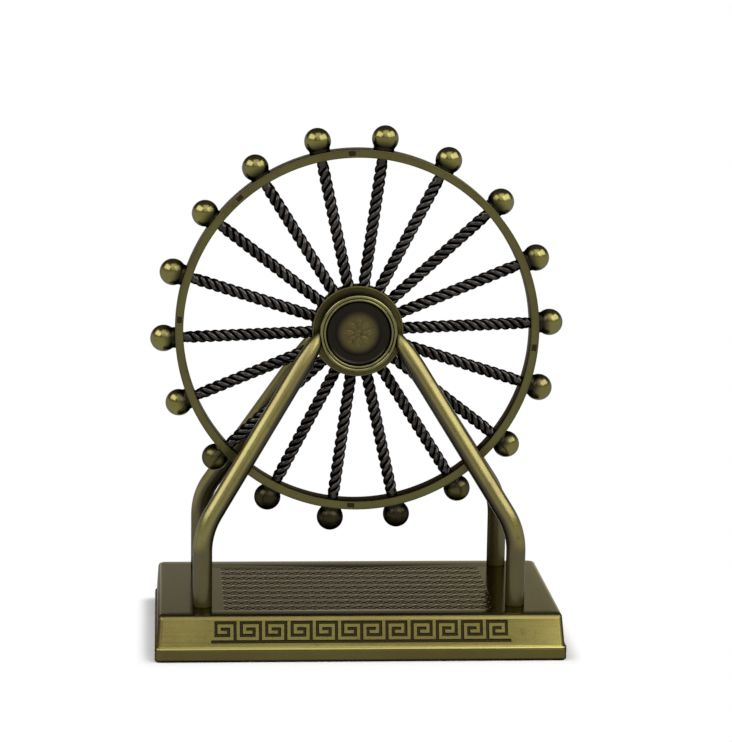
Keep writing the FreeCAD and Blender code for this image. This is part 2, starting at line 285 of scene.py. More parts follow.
# pale rubbed brass, also a painted highlight on the slab's upper edge
RUBBED_HIGHLIGHT_TONE = srgb(150, 142, 82)
TOP_TONE = srgb(105, 97, 76)
# painted reflection on the right part of the base's top
PAINTED_TOP_REFLECTION = srgb(118, 113, 70)
FELT_DARK = srgb(22, 21, 21)
FELT_PALE = srgb(60, 58, 56)

# tints of the metal at a grazing view
EDGE_HUE = (1.0, 0.93, 0.8)
HOLLOW_EDGE = (0.06, 0.055, 0.055, 1.0)
TOP_EDGE = (0.70, 0.66, 0.56, 1.0)

# ---------------- node graphs


class Graph:
    """Node tree of a material or the world, with short ways to add and link its nodes."""

    def __init__(self, owner, output):
        owner.use_nodes = True
        self.owner = owner
        self.tree = owner.node_tree
        self.tree.nodes.clear()
        self.output = self.tree.nodes.new(output)

    def add(self, kind, settings=None, **inputs):
        """Node with its inputs given by name, or by number after an underscore."""
        node = self.tree.nodes.new("ShaderNode" + kind)
        for key, value in (settings or {}).items():
            setattr(node, key, value)
        for key, value in inputs.items():
            socket = node.inputs[int(key[1:]) if key[0] == "_" else key.replace("_", " ")]
            if isinstance(value, bpy.types.NodeSocket):
                self.tree.links.new(value, socket)
            else:
                socket.default_value = value
        return node

    def math(self, operation, a, b=0.0, c=0.0, clamp=False):
        settings = {"operation": operation, "use_clamp": clamp}
        return self.add("Math", settings, _0=a, _1=b, _2=c).outputs[0]

    def times(self, a, b):
        return self.math("MULTIPLY", a, b)

    def highest(self, a, b):
        return self.math("MAXIMUM", a, b)

    def rest(self, value):
        """What is left of 1."""
        return self.math("SUBTRACT", 1.0, value)

    def noise(self, vector, scale, detail=3.0, roughness=0.55):
        node = self.add("TexNoise", Vector=vector, Scale=scale, Detail=detail, Roughness=roughness)
        return node.outputs["Fac"]

    def ramp(self, value, low, high):
        """0 below low and 1 above high, with a smooth step between them."""
        settings = {"interpolation_type": "SMOOTHSTEP"}
        return self.add("MapRange", settings, Value=value, From_Min=low, From_Max=high).outputs["Result"]

    def blend(self, factor, a, b):
        return self.add("Mix", {"data_type": "RGBA"}, _0=factor, _6=a, _7=b).outputs[2]

    def vector(self, operation, a, b=(0, 0, 0)):
        return self.add("VectorMath", {"operation": operation}, _0=a, _1=b).outputs[0]

    def length(self, vector):
        return self.add("VectorMath", {"operation": "LENGTH"}, _0=vector).outputs["Value"]

    def split(self, vector):
        """The x, y and z of a vector."""
        return self.add("SeparateXYZ", Vector=vector).outputs

    def place(self):
        return self.add("TexCoord").outputs["Object"]

    def attribute(self, name, output):
        return self.add("Attribute", {"attribute_name": name}).outputs[output]

    def bump(self, height, strength, distance, **normal):
        node = self.add("Bump", Height=height, Strength=strength, Distance=distance, **normal)
        return node.outputs["Normal"]

    def show(self, shader):
        self.tree.links.new(shader.outputs[0], self.output.inputs[0])


def material_graph(name):
    return Graph(bpy.data.materials.new(name), "ShaderNodeOutputMaterial")


# ---------------- materials

# an AGE is a share of patina, and a FADE or SHADE is where a change starts and where it is full
NOISE_MIDDLE = 0.5
ALONG_GRAIN = 0.03
CLOUD_FADE = (0.38, 0.66)
STREAK_FADE = (0.5, 0.78)
SPOT_FADE = (0.54, 0.76)
SPOT_AGE = 0.4
PATINA_AND_SHADE_AGE = 0.95
PAINTED_UNDERSIDE_FADE = (-0.13, 0.07)
ROUGH_BY_BRUSH = 0.2
ROUGH_BY_AGE = 0.14
COAT_ROUGHNESS = 0.17
ROUGH_BY_MARKS = 0.25
DULL_SHARE = 0.7
DULL_FADE = (0.4, 0.7)
TUFT_FADE = (0.12, 0.42)

# zones of the base: the heights where each fades, and its share of patina and painted shade; the rubbed
# edge also carries a painted highlight
CONTACT_SHADOW_FADE = (0.0006, 0.0013)
SLAB_FADE = (SLAB_TOP - 0.0006, SLAB_TOP - 0.0004)
SLAB_PATINA_AND_SHADE = 0.6
SHOULDER_FADE = (base_high.z - 0.0016, base_high.z - 0.0007)
SHOULDER_PAINTED_SHADE = 0.42
TOP_FADE = (base_high.z - 0.0006, base_high.z - 0.00015)
TOP_CLEANED = 0.5
TOP_ROUGHNESS = 0.13
PAINTED_TOP_REFLECTION_FADE = (0.015, 0.05)
RUBBED_HEIGHT = SLAB_TOP - 0.0002
RUBBED_HIGHLIGHT_FADE = (0.0003, 0.0005)


def turned_lines(graph):
    """Coordinates of the wheel's axis: distance from it and along it, for lathe marks."""
    x, y, z = graph.split(graph.vector("SUBTRACT", graph.place(), tuple(HUB)))
    radius = graph.length(graph.add("CombineXYZ", X=x, Z=z).outputs[0])
    return graph.add("CombineXYZ", X=radius, Y=y).outputs[0]


def grain_lines(graph, grain, place):
    """Coordinates drawn out along the marks of how the metal was worked."""
    if grain == "length":
        return graph.vector("MULTIPLY", graph.attribute("grain", "Vector"), (1, 1, ALONG_GRAIN))
    if grain == "turned":
        return turned_lines(graph)
    if grain == "across":
        return graph.vector("MULTIPLY", place, (ALONG_GRAIN, 1, 1))
    return place


def base_zones(graph, place, colour, age, tint, roughness):
    """Zones of the base: a slab with patina and painted shade and a painted contact shadow at its foot,
    painted shade on the front shoulder, a rubbed upper slab edge with a painted highlight, and a
    smoother, browner top with a painted reflection on its right.
    """
    aside, _, height = graph.split(place)
    # painted contact shadow: the bottom of the slab goes fully dark
    foot = graph.rest(graph.ramp(height, *CONTACT_SHADOW_FADE))
    # the slab below its upper edge gets patina and painted shade
    slab = graph.rest(graph.ramp(height, *SLAB_FADE))
    top = graph.ramp(height, *TOP_FADE)
    # painted shade on the rounded front shoulder under the top
    painted_shoulder_shade = graph.math("SUBTRACT", graph.ramp(height, *SHOULDER_FADE), top)
    age = graph.times(age, graph.rest(graph.times(top, TOP_CLEANED)))
    for zone, zone_age in ((painted_shoulder_shade, SHOULDER_PAINTED_SHADE), (slab, SLAB_PATINA_AND_SHADE), (foot, 1.0)):
        age = graph.highest(age, graph.times(zone, zone_age))
    # the slab's upper edge is rubbed pale and carries a painted highlight
    from_edge = graph.math("ABSOLUTE", graph.math("SUBTRACT", height, RUBBED_HEIGHT))
    rubbed = graph.rest(graph.ramp(from_edge, *RUBBED_HIGHLIGHT_FADE))
    age = graph.times(age, graph.rest(rubbed))
    colour = graph.blend(rubbed, colour, RUBBED_HIGHLIGHT_TONE)
    # painted reflection: the top turns paler olive towards its right
    top_tone_and_reflection = graph.blend(graph.ramp(aside, *PAINTED_TOP_REFLECTION_FADE), TOP_TONE, PAINTED_TOP_REFLECTION)
    colour = graph.blend(top, colour, top_tone_and_reflection)
    tint = graph.blend(top, tint, TOP_EDGE)
    rough = graph.math("MULTIPLY_ADD", top, TOP_ROUGHNESS - roughness, roughness)
    return colour, age, tint, rough


def bronze(name, tone, warm, roughness, patina=PATINA_AND_SHADE_TONE, grain="cast", edge=0.16, streak=0.5,
           underside=0.0, coat=0.0, plate=False):
    """Antiqued bronze plate: brushed olive tone, brown-black patina in patches and hollows.

    edge darkens the metal at a grazing view, and streak is how much patina is left along its
    grain. underside is how much painted shade goes on faces that look down, and coat is the share
    of clear lacquer outside hollows and shaded spots. plate adds the zones of the base, which
    include painted shade and a painted highlight.
    """
    graph = material_graph(name)
    place = graph.place()
    lines = grain_lines(graph, grain, place)
    cloud = graph.noise(place, scale=75)
    mottle = graph.noise(place, scale=420, detail=5, roughness=0.65)
    brushed = graph.noise(lines, scale=5200, detail=4, roughness=0.7)
    broad_streaks = graph.noise(lines, scale=900)

    colour = graph.blend(graph.ramp(cloud, *CLOUD_FADE), tone, warm)
    streaks = graph.times(graph.ramp(broad_streaks, *STREAK_FADE), streak)
    spots = graph.times(graph.ramp(mottle, *SPOT_FADE), SPOT_AGE)
    age = graph.highest(streaks, spots)
    # this attribute holds patina in hollows and also painted shade; both take the patina colour
    patina_and_shade_share = graph.times(graph.attribute("patina_and_shade", "Fac"), PATINA_AND_SHADE_AGE)
    tint = tuple(edge * share for share in EDGE_HUE) + (1.0,)
    rough = roughness
    if plate:
        colour, age, tint, rough = base_zones(graph, place, colour, age, tint, roughness)
    # painted shade: faces that look down are darkened as if they were in shade
    if underside:
        up = graph.split(graph.add("NewGeometry").outputs["Normal"])[2]
        below = graph.ramp(graph.times(up, -1.0), *PAINTED_UNDERSIDE_FADE)
        age = graph.highest(age, graph.times(below, underside))
    age = graph.math("MAXIMUM", age, patina_and_shade_share, clamp=True)
    colour = graph.blend(age, colour, patina)
    tint = graph.blend(patina_and_shade_share, tint, HOLLOW_EDGE)

    unevenness = graph.math("SUBTRACT", brushed, NOISE_MIDDLE)
    rough = graph.math("MULTIPLY_ADD", unevenness, ROUGH_BY_BRUSH, rough)
    rough = graph.math("MULTIPLY_ADD", age, ROUGH_BY_AGE, rough, clamp=True)
    lacquer = graph.math("MULTIPLY_ADD", patina_and_shade_share, -coat, coat) if coat else 0.0
    fine = graph.bump(brushed, strength=0.2, distance=0.00002)
    wavy = graph.bump(mottle, strength=0.15, distance=0.00006, Normal=fine)
    graph.show(graph.add("BsdfPrincipled", Base_Color=colour, Metallic=1.0, Roughness=rough,
                         Normal=wavy, Specular_Tint=tint, Coat_Weight=lacquer,
                         Coat_Roughness=COAT_ROUGHNESS))
    return graph.owner


def plain_metal(name, colour, roughness):
    """Bare metal with lathe marks and a few dull clouds."""
    graph = material_graph(name)
    marks = graph.noise(turned_lines(graph), scale=6000)
    unevenness = graph.math("SUBTRACT", marks, NOISE_MIDDLE)
    rough = graph.math("MULTIPLY_ADD", unevenness, ROUGH_BY_MARKS, roughness)
    dull = tuple(DULL_SHARE * channel for channel in colour[:3]) + (1.0,)
    clouds = graph.ramp(graph.noise(graph.place(), scale=600), *DULL_FADE)
    graph.show(graph.add("BsdfPrincipled", Base_Color=graph.blend(clouds, colour, dull), Metallic=1.0,
                         Roughness=rough, Normal=graph.bump(marks, strength=0.2, distance=0.00002)))
    return graph.owner


def felt_material():
    graph = material_graph("black_felt")
    place = graph.place()
    fibre = graph.noise(place, scale=2600, detail=8, roughness=0.8)
    clumps = graph.noise(place, scale=500, detail=4)
    tufts = graph.ramp(graph.times(fibre, clumps), *TUFT_FADE)
    graph.show(graph.add("BsdfPrincipled", Base_Color=graph.blend(tufts, FELT_DARK, FELT_PALE),
                         Roughness=0.95, Sheen_Weight=0.5, Sheen_Roughness=0.6,
                         Normal=graph.bump(fibre, strength=0.8, distance=0.00025)))
    return graph.owner


base_metal = bronze("base_bronze", tone=srgb(123, 115, 64), warm=srgb(118, 107, 60),
                    roughness=0.28, grain="across", streak=0.22, plate=True)
# the legs get painted shade on their downward faces through underside
leg_metal = bronze("leg_bronze", tone=srgb(118, 111, 61), warm=srgb(111, 101, 55),
                   roughness=0.34, grain="length", underside=0.85, coat=0.45)
cup_metal = bronze("cup_bronze", tone=srgb(108, 106, 64), warm=srgb(100, 94, 58),
                   roughness=0.2, patina=BLACK_PATINA_AND_SHADE, grain="turned", coat=0.3)
disc_metal = bronze("disc_bronze", tone=srgb(92, 85, 52), warm=srgb(88, 72, 44),
                    roughness=0.4, patina=BLACK_PATINA_AND_SHADE, streak=0.75)
hub_metal = bronze("hub_bronze", tone=srgb(85, 82, 48), warm=srgb(77, 72, 44),
                   roughness=0.32, grain="turned")
rim_metal = bronze("rim_bronze", tone=srgb(90, 87, 52), warm=srgb(84, 78, 48),
                   roughness=0.28, grain="turned", edge=0.4)
spoke_metal = bronze("spoke_bronze", tone=srgb(64, 61, 58), warm=srgb(49, 46, 44),
                     roughness=0.21, patina=srgb(7, 6, 6))
ball_metal = bronze("ball_bronze", tone=srgb(107, 102, 44), warm=srgb(98, 91, 38),
                    roughness=0.22, patina=BLACK_PATINA_AND_SHADE, streak=0.2, coat=0.6)
steel = plain_metal("plain_steel", colour=srgb(160, 158, 152), roughness=0.35)
brass = plain_metal("washer_brass", colour=srgb(190, 165, 105), roughness=0.32)
felt = felt_material()

# ---------------- base

CORNER_STEPS = 6
# painted shade on the base's upright corners
CORNER_PAINTED_SHADE = 0.75
CORNER_FADE = (base_high.z - 0.0008, base_high.z - 0.0002)
GROOVE_SHADE = (0.00004, SLAB_GROOVE_DEPTH)


def rounded_ring(half_x, half_y, front, side, rear):
    """Ring round a rectangle with round corners; front, side and rear are each (inset, height)."""
    ring = []
    for sign_x, sign_y in ((1, -1), (1, 1), (-1, 1), (-1, -1)):
        face = front if sign_y < 0 else rear
        for step in range(CORNER_STEPS + 1):
            turn = step / CORNER_STEPS
            # the corner arc runs from the face to the side, or back again on the other diagonal
            t = turn if sign_x * sign_y < 0 else 1 - turn
            angle = t * math.pi / 2
            x = half_x - side[0] - BASE_CORNER * (1 - math.sin(angle))
            y = half_y - face[0] - BASE_CORNER * (1 - math.cos(angle))
            ring.append(Vector((sign_x * x, sign_y * y, mix(face[1], side[1], t))))
    return ring


def base_levels():
    """Rings from the pad's recess to the top: underside, foot slab, ledge and sloped body."""
    recess = base_high.x - pad_high.x - PAD_GAP

    def section(top_inset, top_round=TOP_ROUND):
        """Outline of one side as (inset, height), from its corners with their radii."""
        corners = [(recess, pad_high.z, 0), (recess, base_low.z, 0), (0.0, base_low.z, SLAB_ROUND),
                   (0.0, SLAB_GROOVE - SLAB_GROOVE_DEPTH, SHARP_ROUND),
                   (SLAB_GROOVE_DEPTH, SLAB_GROOVE, SHARP_ROUND),
                   (0.0, SLAB_GROOVE + SLAB_GROOVE_DEPTH, SHARP_ROUND),
                   (0.0, SLAB_TOP - CHAMFER_HEIGHT, SHARP_ROUND),
                   (CHAMFER_DEPTH, SLAB_TOP, SHARP_ROUND), (SLAB_LEDGE, SLAB_TOP, LEDGE_ROUND),
                   (top_inset, base_high.z, top_round), (top_inset + TOP_BORDER, base_high.z, 0)]
        points = [corners[0][:2]]
        for before, here, after in zip(corners, corners[1:], corners[2:]):
            turn = [before[:2], here[:2], after[:2]]
            points += round_corners(turn, here[2], FINE_ARC_STEPS, closed=False)[1:-1]
        return points + [corners[-1][:2]]

    sections = zip(section(FRONT_INSET, FRONT_TOP_ROUND), section(SIDE_INSET), section(REAR_INSET))
    return [rounded_ring(base_high.x, base_high.y, *levels) for levels in sections]


def add_panel(bm, layer, frame_ring, centre, up, columns, rows, depth_at, blackest):
    """Rectangle sunk by a height pattern, in the flat face inside a ring of vertices."""
    across = Vector((1, 0, 0))
    inward = up.cross(across)
    grid = []
    for v in rows:
        line = []
        for u in columns:
            depth = depth_at(u, v)
            vertex = bm.verts.new(centre + across * u + up * v + inward * depth)
            vertex[layer] = min(depth / blackest, 1.0)
            line.append(vertex)
        grid.append(line)
    for low, high in zip(grid, grid[1:]):
        join_rings(bm, low, high, last_open=True)
    right = [row[-1] for row in grid[1:]]
    left = [row[0] for row in grid[-2:0:-1]]
    border = grid[0] + right + grid[-1][-2::-1] + left
    edges = []
    for ring in (frame_ring, border):
        for pair in zip(ring, ring[1:] + ring[:1]):
            edges.append(bm.edges.get(pair) or bm.edges.new(pair))
    bmesh.ops.triangle_fill(bm, use_beauty=True, edges=edges)


# Key pattern: one line that climbs from the baseline and coils inwards, on a square grid.
KEY_TURNS = ((0, 0), (0, 6), (6, 6), (6, 2), (2, 2), (2, 4), (4, 4))
KEY_STEP = 8
KEY_ROWS = 7
KEY_COPIES = 6
KEY_CELL = 0.00092
KEY_CENTRE = 0.0044
KEY_DEPTH = 0.00045
KEY_WALL = 0.00018


def key_cells():
    """Cells (column, row) of the sunk line: copies to the right and mirrored to the left."""
    unit = {(column, 0) for column in range(KEY_STEP)}
    for (x0, y0), (x1, y1) in zip(KEY_TURNS, KEY_TURNS[1:]):
        for x in range(min(x0, x1), max(x0, x1) + 1):
            unit |= {(x, y) for y in range(min(y0, y1), max(y0, y1) + 1)}
    right = {(copy * KEY_STEP + x, y) for copy in range(KEY_COPIES) for x, y in unit}
    return right | {(-x, y) for x, y in right}


KEY_CELLS = key_cells()


def key_depth(u, v):
    """Depth of the key pattern at a point, with a soft wall on the inside of its line."""
    column = math.floor(u / KEY_CELL + 0.5)
    row = math.floor(v / KEY_CELL + KEY_ROWS / 2)
    if (column, row) not in KEY_CELLS:
        return 0.0
    nearest = KEY_WALL
    for x in (column - 1, column, column + 1):
        for y in (row - 1, row, row + 1):
            if (x, y) in KEY_CELLS:
                continue
            gap_x = abs(u - x * KEY_CELL) - KEY_CELL / 2
            gap_y = abs(v - (y + 0.5 - KEY_ROWS / 2) * KEY_CELL) - KEY_CELL / 2
            nearest = min(nearest, max(gap_x, gap_y, 0.0))
    return KEY_DEPTH * smoothstep(nearest, 0.0, KEY_WALL)


def key_lines(first_edge, count, margin):
    """Grid lines: each cell's edges, the feet of the walls inside it, and a margin."""
    offsets = (0.0, KEY_WALL / 2, KEY_WALL, KEY_CELL - KEY_WALL, KEY_CELL - KEY_WALL / 2)
    lines = [first_edge + KEY_CELL * i + offset for i in range(count) for offset in offsets]
    lines.append(first_edge + KEY_CELL * count)
    return [lines[0] - margin] + lines + [lines[-1] + margin]


def add_key_border(bm, layer, corners):
    """The key border in the sloped front, whose corners go round from its lower left one."""
    left_low, right_low = corners[:2]
    rise = corners[-1].co - left_low.co
    up = Vector((0, rise.y, rise.z)).normalized()
    centre = (left_low.co + right_low.co) / 2 + up * KEY_CENTRE
    last = KEY_COPIES * KEY_STEP
    columns = key_lines(-(last - 0.5) * KEY_CELL, 2 * last - 1, KEY_CELL / 2)
    rows = key_lines(-KEY_ROWS / 2 * KEY_CELL, KEY_ROWS, KEY_CELL / 4)
    add_panel(bm, layer, corners, centre, up, columns, rows, key_depth, KEY_DEPTH)


# Braid pattern: rows of two crossing waves with a dot in each eye.
BRAID_ROWS = 9
BRAID_PITCH = 0.0056
BRAID_WAVES = 12
BRAID_WAVELENGTH = 0.0066
BRAID_HALF_WIDTH = BRAID_WAVES * BRAID_WAVELENGTH / 2
BRAID_AMPLITUDE = 0.00135
BRAID_HALF_LINE = 0.00034
BRAID_DOT = 0.0006
BRAID_FLAT_SHARE = 0.35
BRAID_END_FADE = 0.0002
BRAID_DEPTH = 0.00005
BRAID_BLACKEST = 1.3 * BRAID_DEPTH
BRAID_MARGIN = 0.0005
BRAID_MESH = 0.0002
BRAID_CENTRE_Y = -0.00025


def braid_depth(u, v):
    away = v - round(v / BRAID_PITCH) * BRAID_PITCH
    phase = 2 * math.pi * u / BRAID_WAVELENGTH
    wave = BRAID_AMPLITUDE * math.cos(phase)
    slope = BRAID_AMPLITUDE * math.sin(phase) * 2 * math.pi / BRAID_WAVELENGTH
    stretch = 1 / math.hypot(1, slope)
    to_line = min(abs(away - wave), abs(away + wave)) * stretch
    eye = BRAID_WAVELENGTH / 2
    to_dot = math.hypot(u - eye * round(u / eye), away)
    line = 1 - smoothstep(to_line, BRAID_HALF_LINE * BRAID_FLAT_SHARE, BRAID_HALF_LINE)
    dot = 1 - smoothstep(to_dot, BRAID_DOT * BRAID_FLAT_SHARE, BRAID_DOT)
    inside = 1 - smoothstep(abs(u), BRAID_HALF_WIDTH, BRAID_HALF_WIDTH + BRAID_END_FADE)
    return BRAID_DEPTH * max(line, dot) * inside


def even_lines(centre, reach):
    """Grid lines this far to both sides of a centre."""
    steps = round(2 * reach / BRAID_MESH)
    return [centre - reach + 2 * reach * i / steps for i in range(steps + 1)]


def add_braided_rows(bm, layer, top):
    """The braided rows in the flat top inside a ring. Their grid is open between the rows."""
    columns = even_lines(0.0, BRAID_HALF_WIDTH + BRAID_MARGIN)
    rows = []
    for row in range(BRAID_ROWS):
        rows += even_lines((row - (BRAID_ROWS - 1) / 2) * BRAID_PITCH, BRAID_AMPLITUDE + BRAID_HALF_LINE)
    centre = Vector((0, BRAID_CENTRE_Y, base_high.z))
    add_panel(bm, layer, top, centre, Vector((0, 1, 0)), columns, rows, braid_depth, BRAID_BLACKEST)


def corner_painted_shade(index, height):
    """Painted shade on the upright corners, which is 0 on the flat sides and on the top face."""
    step = index % (CORNER_STEPS + 1)
    below_top = 1 - smoothstep(height, *CORNER_FADE)
    return CORNER_PAINTED_SHADE * math.sin(math.pi * step / CORNER_STEPS) * below_top


def cast_base():
    """Base casting with a sunk key border on its sloped front and braided rows on its top."""
    bm = bmesh.new()
    layer = bm.verts.layers.float.new("patina_and_shade")
    made = [[bm.verts.new(point) for point in ring] for ring in base_levels()]
    for ring in made:
        groove = 1 - smoothstep(abs(ring[0].co.z - SLAB_GROOVE), *GROOVE_SHADE)
        for i, vertex in enumerate(ring):
            vertex[layer] = max(groove, corner_painted_shade(i, vertex.co.z))
    # the sloped body is the highest step between two rings, and its front is left open here
    rises = [high[0].co.z - low[0].co.z for low, high in zip(made, made[1:])]
    sloped = rises.index(max(rises))
    for i, (low, high) in enumerate(zip(made, made[1:])):
        join_rings(bm, low, high, last_open=i == sloped)
    bm.faces.new(reversed(made[0]))
    low, high = made[sloped], made[sloped + 1]
    add_key_border(bm, layer, [low[-1], low[0], high[0], high[-1]])
    add_braided_rows(bm, layer, made[-1])
    return finished("cast_base", bm, sharp_angle=40)


add_piece("cast_base", cast_base(), base_metal, "stand", ["base_casting"])


def felt_pad():
    """Die-cut felt sheet with softly rounded edges."""
    corners = [(PAD_BORDER, pad_low.z), (0.0, pad_low.z), (0.0, pad_high.z), (PAD_BORDER, pad_high.z)]
    rings = []
    for level in round_corners(corners, PAD_ROUND, 4, closed=False):
        ring = rounded_ring(pad_high.x, pad_high.y, level, level, level)
        rings.append([(point, 0.0, point) for point in ring])
    return skin("felt_pad", rings, sharp_angle=35)


pad = add_piece("felt_pad", felt_pad(), felt, "stand", ["base_pad"])

# ---------------- legs

LEG_SEGMENTS = 40
LEG_STEP = 0.0008
NOSE_STEPS = 18
FOOT_PATINA_AND_SHADE = (0.0001, 0.0012)
CUP_SHADE = (0.0, 0.0009)
INNER_SHADE_FADE = (-0.25, 0.45)
REAR_LEG_PAINTED_SHADE = 0.85


def leg_path(node):
    """Centre line of a leg from its foot to its end on the cup, as points with directions."""
    low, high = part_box(node)
    side_x = -1 if (low.x + high.x) < 0 else 1
    side_y = -1 if (low.y + high.y) / 2 < HUB.y else 1
    foot_x = max(abs(low.x), abs(high.x)) - LEG_RADIUS
    foot_y = (low.y if side_y < 0 else high.y) - side_y * LEG_RADIUS
    offset = CUP_RADIUS - (FRONT_LEG_LAP if side_y < 0 else REAR_LEG_LAP)
    reach = math.hypot(foot_x, HUB.z - LEG_BEND_HEIGHT)
    lean = math.atan2(foot_x, HUB.z - LEG_BEND_HEIGHT) - math.asin(offset / reach)
    run = math.sqrt(reach ** 2 - offset ** 2) - LEG_NOSE_START
    lean_in = (abs(foot_y - HUB.y) - FLANGE_FACE) / run
    end_y = FLANGE_FACE + LEG_FLANGE_GAP + math.hypot(LEG_NOSE_LENGTH * lean_in, LEG_RADIUS)

    foot = Vector((side_x * foot_x, foot_y, low.z))
    corner = Vector((foot.x, foot.y, LEG_BEND_HEIGHT))
    end = Vector((side_x * (foot_x - run * math.sin(lean)), HUB.y + side_y * end_y,
                  LEG_BEND_HEIGHT + run * math.cos(lean)))
    rising = Vector((0, 0, 1))
    slant = (end - corner).normalized()
    turn = rising.angle(slant)
    tangent = LEG_BEND_RADIUS * math.tan(turn / 2)
    bend_start = corner - rising * tangent
    bend_end = corner + slant * tangent
    inward = (slant - rising * slant.z).normalized()
    steps = round((bend_start - foot).length / LEG_STEP)
    path = [(foot.lerp(bend_start, i / steps), rising) for i in range(steps)]
    steps = round(LEG_BEND_RADIUS * turn / LEG_STEP)
    for i in range(steps):
        angle = turn * i / steps
        point = bend_start + rising * LEG_BEND_RADIUS * math.sin(angle)
        point += inward * LEG_BEND_RADIUS * (1 - math.cos(angle))
        path.append((point, rising * math.cos(angle) + inward * math.sin(angle)))
    steps = round((end - bend_end).length / LEG_STEP)
    path += [(bend_end.lerp(end, i / steps), slant) for i in range(steps + 1)]
    return path, rising.cross(slant).normalized()


def against_cup(point):
    """The point moved out of the cup's wall, so that the bar lies flat against it."""
    flat = Vector((point.x - HUB.x, 0, point.z - HUB.z))
    limit = CUP_RADIUS - CUP_OVERLAP
    if flat.length >= limit:
        return point
    flat = flat.normalized() * limit
    return Vector((HUB.x + flat.x, point.y, HUB.z + flat.z))


def leg_bar(name, node):
    """Bar along its path, with a long tapered nose that is pressed flat against the cup."""
    path, aside = leg_path(node)
    end_point, end_direction = path[-1]
    radii = [LEG_RADIUS] * len(path)
    for i in range(1, NOSE_STEPS):
        angle = math.pi / 2 * i / NOSE_STEPS
        path.append((end_point + end_direction * LEG_NOSE_LENGTH * math.sin(angle), end_direction))
        radii.append(LEG_RADIUS * math.cos(angle))
    previous = path[0][0]
    inward_x = math.copysign(1, end_point.x - previous.x)
    # the rear bars get painted shade on the sides that face each other
    kept = REAR_LEG_PAINTED_SHADE if previous.y > HUB.y else 0.0
    rings = []
    travelled = 0.0
    for (point, direction), radius in zip(path, radii):
        travelled += (point - previous).length
        previous = point
        other = direction.cross(aside)
        ring = []
        for angle in even_angles(LEG_SEGMENTS):
            outward = aside * math.cos(angle) + other * math.sin(angle)
            place = point + outward * radius
            seated = against_cup(place)
            # patina and painted contact shadow where the bar stands on the base
            foot_patina_and_shade = 1 - smoothstep(place.z - base_high.z, *FOOT_PATINA_AND_SHADE)
            gap = math.hypot(seated.x - HUB.x, seated.z - HUB.z) - CUP_RADIUS
            at_cup = 1 - smoothstep(gap, *CUP_SHADE)
            painted_inner_shade = kept * smoothstep(outward.x * inward_x, *INNER_SHADE_FADE)
            lines = (radius * math.cos(angle), radius * math.sin(angle), travelled)
            ring.append((seated, max(foot_patina_and_shade, at_cup, painted_inner_shade), lines))
        rings.append(ring)
    return skin(name, rings, sharp_angle=60)


for node in LEGS:
    bar = node + "_bar"
    add_piece(bar, leg_bar(bar, node), leg_metal, "stand", [node])

# ---------------- bearing cups and their discs

BEAD_STEPS = 10
BOWL_STEPS = 8
DISH_EDGE = 0.0002
DISH_SHADE = (0.0, 0.0006)
LIP_GROOVE_SHADE = (0.0001, 0.0005)
WALL_SHADE = (0.001, 0.003)
WALL_DEPTH = 0.0004
LIGHT_AGE = 0.6


def bearing_cup(name, side):
    """Dished cup with two rolled beads round its lip."""
    dish_radius = CUP_RADIUS - CUP_LIP_WIDTH
    lip_base = CUP_FRONT - CUP_BEAD
    inner_bead = (CUP_LIP_WIDTH - 2 * CUP_BEAD) / 2
    between_beads = dish_radius + 2 * inner_bead
    profile = [(dish_radius, lip_base)]
    for i in range(BOWL_STEPS + 1):
        angle = math.pi / 2 * i / BOWL_STEPS
        profile.append((dish_radius - DISH_FILLET * (1 - math.cos(angle)),
                        DISH_FLOOR + DISH_FILLET * (1 - math.sin(angle))))
    corners = [profile[-1], (BOLT_RECESS, DISH_FLOOR), (BOLT_RECESS, CUP_BACK + BOLT_SEAT),
               (AXLE_HOLE, CUP_BACK + BOLT_SEAT), (AXLE_HOLE, CUP_BACK), (CUP_RADIUS, CUP_BACK),
               (CUP_RADIUS, lip_base)]
    profile += round_corners(corners, CUP_ROUND, closed=False)[1:]
    for centre, radius in ((CUP_RADIUS - CUP_BEAD, CUP_BEAD), (dish_radius + inner_bead, inner_bead)):
        for i in range(1, BEAD_STEPS + 1):
            angle = math.pi * i / BEAD_STEPS
            profile.append((centre + radius * math.cos(angle), lip_base + radius * math.sin(angle)))
    # the inner bead ends where the profile began
    profile.pop()

    def patina_and_shade_at(radius, out, lift):
        below_lip = lip_base - out
        groove = 1 - smoothstep(abs(radius - between_beads) + abs(below_lip), *LIP_GROOVE_SHADE)
        # the dish below the lip gets patina and painted shade
        in_dish = smoothstep(dish_radius + DISH_EDGE - radius, 0.0, DISH_EDGE)
        dish = in_dish * smoothstep(below_lip, *DISH_SHADE)
        # painted shade on the cup's outer wall below the lip
        at_wall = smoothstep(radius, CUP_RADIUS - WALL_DEPTH, CUP_RADIUS)
        wall = at_wall * smoothstep(below_lip, *WALL_SHADE)
        return max(LIGHT_AGE * groove, dish, LIGHT_AGE * wall)

    return turned(name, profile, side, 50, patina_and_shade_at)


DISC_STEPS = 40
DISC_SAG = 0.35
DISC_FADE = (0.0042, 0.0068)
DISC_WEAR = 0.72
ROSETTE_PETALS = 8
ROSETTE_REACH = 0.0048
ROSETTE_LIFT = 0.0001
BOSS_FADE = (0.14, 0.22)
PETAL_SPAN = (0.2, 1.0)
PETAL_FULLNESS = 0.8
PETAL_WIDTH = 0.75
PETAL_SIDE = (0.0, 0.3)
PETAL_FOOT = (0.22, 0.3)
PETAL_TIP = (0.93, 1.0)
VEIN_FADE = (0.975, 1.0)
VEIN_DEPTH = 0.45


